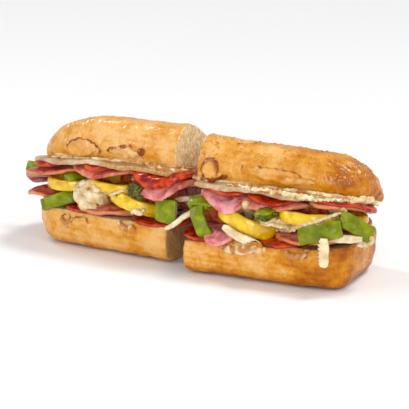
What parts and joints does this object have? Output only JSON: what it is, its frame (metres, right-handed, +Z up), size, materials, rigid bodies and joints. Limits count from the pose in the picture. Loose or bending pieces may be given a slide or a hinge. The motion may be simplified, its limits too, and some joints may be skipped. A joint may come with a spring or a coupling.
{
  "type": "submarine sandwich",
  "caption": "Toasted submarine sandwich cut across the middle, with cured meats, sliced and melted cheese, pepper rings, green pepper strips and onion.",
  "frame": {"origin": "bottom centre of the whole sandwich's box, on the surface it stands on", "axes": "+X along the loaf from the left half to the right half, -Y the open front with the filling, +Z up"},
  "size_m": [0.2496, 0.0866, 0.0812],
  "materials": {
    "bread": "baked golden crust, paler crumb where it is cut",
    "sliced_cheese": "soft, slightly glossy sliced cheese",
    "melted_cheese": "melted cheese with browned spots",
    "pepperoni": "greasy cured sausage",
    "ham": "moist cooked ham",
    "banana_pepper": "glossy pickled pepper",
    "green_pepper": "glossy pepper skin with charred edges",
    "onion": "translucent cooked onion"
  },
  "bodies": {
    "root": {"bottom_bread_left": "bread", "bottom_bread_right": "bread", "top_bread_left": "bread", "top_bread_right": "bread", "ham_fold_right_1": "ham", "banana_pepper_left_1": "banana_pepper", "banana_pepper_left_2": "banana_pepper", "banana_pepper_left_3": "banana_pepper", "green_pepper_left_1": "green_pepper", "green_pepper_left_2": "green_pepper", "green_pepper_left_3": "green_pepper", "green_pepper_left_4": "green_pepper", "green_pepper_left_5": "green_pepper", "green_pepper_left_6": "green_pepper", "banana_pepper_right_1": "banana_pepper", "banana_pepper_right_2": "banana_pepper", "banana_pepper_right_3": "banana_pepper", "green_pepper_right_1": "green_pepper", "green_pepper_right_2": "green_pepper", "green_pepper_right_3": "green_pepper", "green_pepper_right_4": "green_pepper", "green_pepper_right_5": "green_pepper", "green_pepper_right_6": "green_pepper", "onion_across_the_cut": "onion", "onion_left_1": "onion", "onion_right_1": "onion", "onion_right_2": "onion", "onion_right_3": "onion", "pepperoni_low_left_1": "pepperoni", "pepperoni_low_left_2": "pepperoni", "pepperoni_low_left_3": "pepperoni", "ham_low_left_1": "ham", "ham_low_left_2": "ham", "pepperoni_low_right_1": "pepperoni", "pepperoni_low_right_2": "pepperoni", "pepperoni_low_right_3": "pepperoni", "ham_low_right_1": "ham", "ham_low_right_2": "ham", "provolone_left": "sliced_cheese", "provolone_right": "sliced_cheese", "pepperoni_left_1": "pepperoni", "pepperoni_left_2": "pepperoni", "pepperoni_left_3": "pepperoni", "pepperoni_left_4": "pepperoni", "ham_left_1": "ham", "ham_left_2": "ham", "ham_left_3": "ham", "pepperoni_right_1": "pepperoni", "pepperoni_right_2": "pepperoni", "pepperoni_right_3": "pepperoni", "pepperoni_right_4": "pepperoni", "ham_right_1": "ham", "ham_right_2": "ham", "melted_cheese_left": "melted_cheese", "melted_cheese_right": "melted_cheese"}
  },
  "joints": []
}
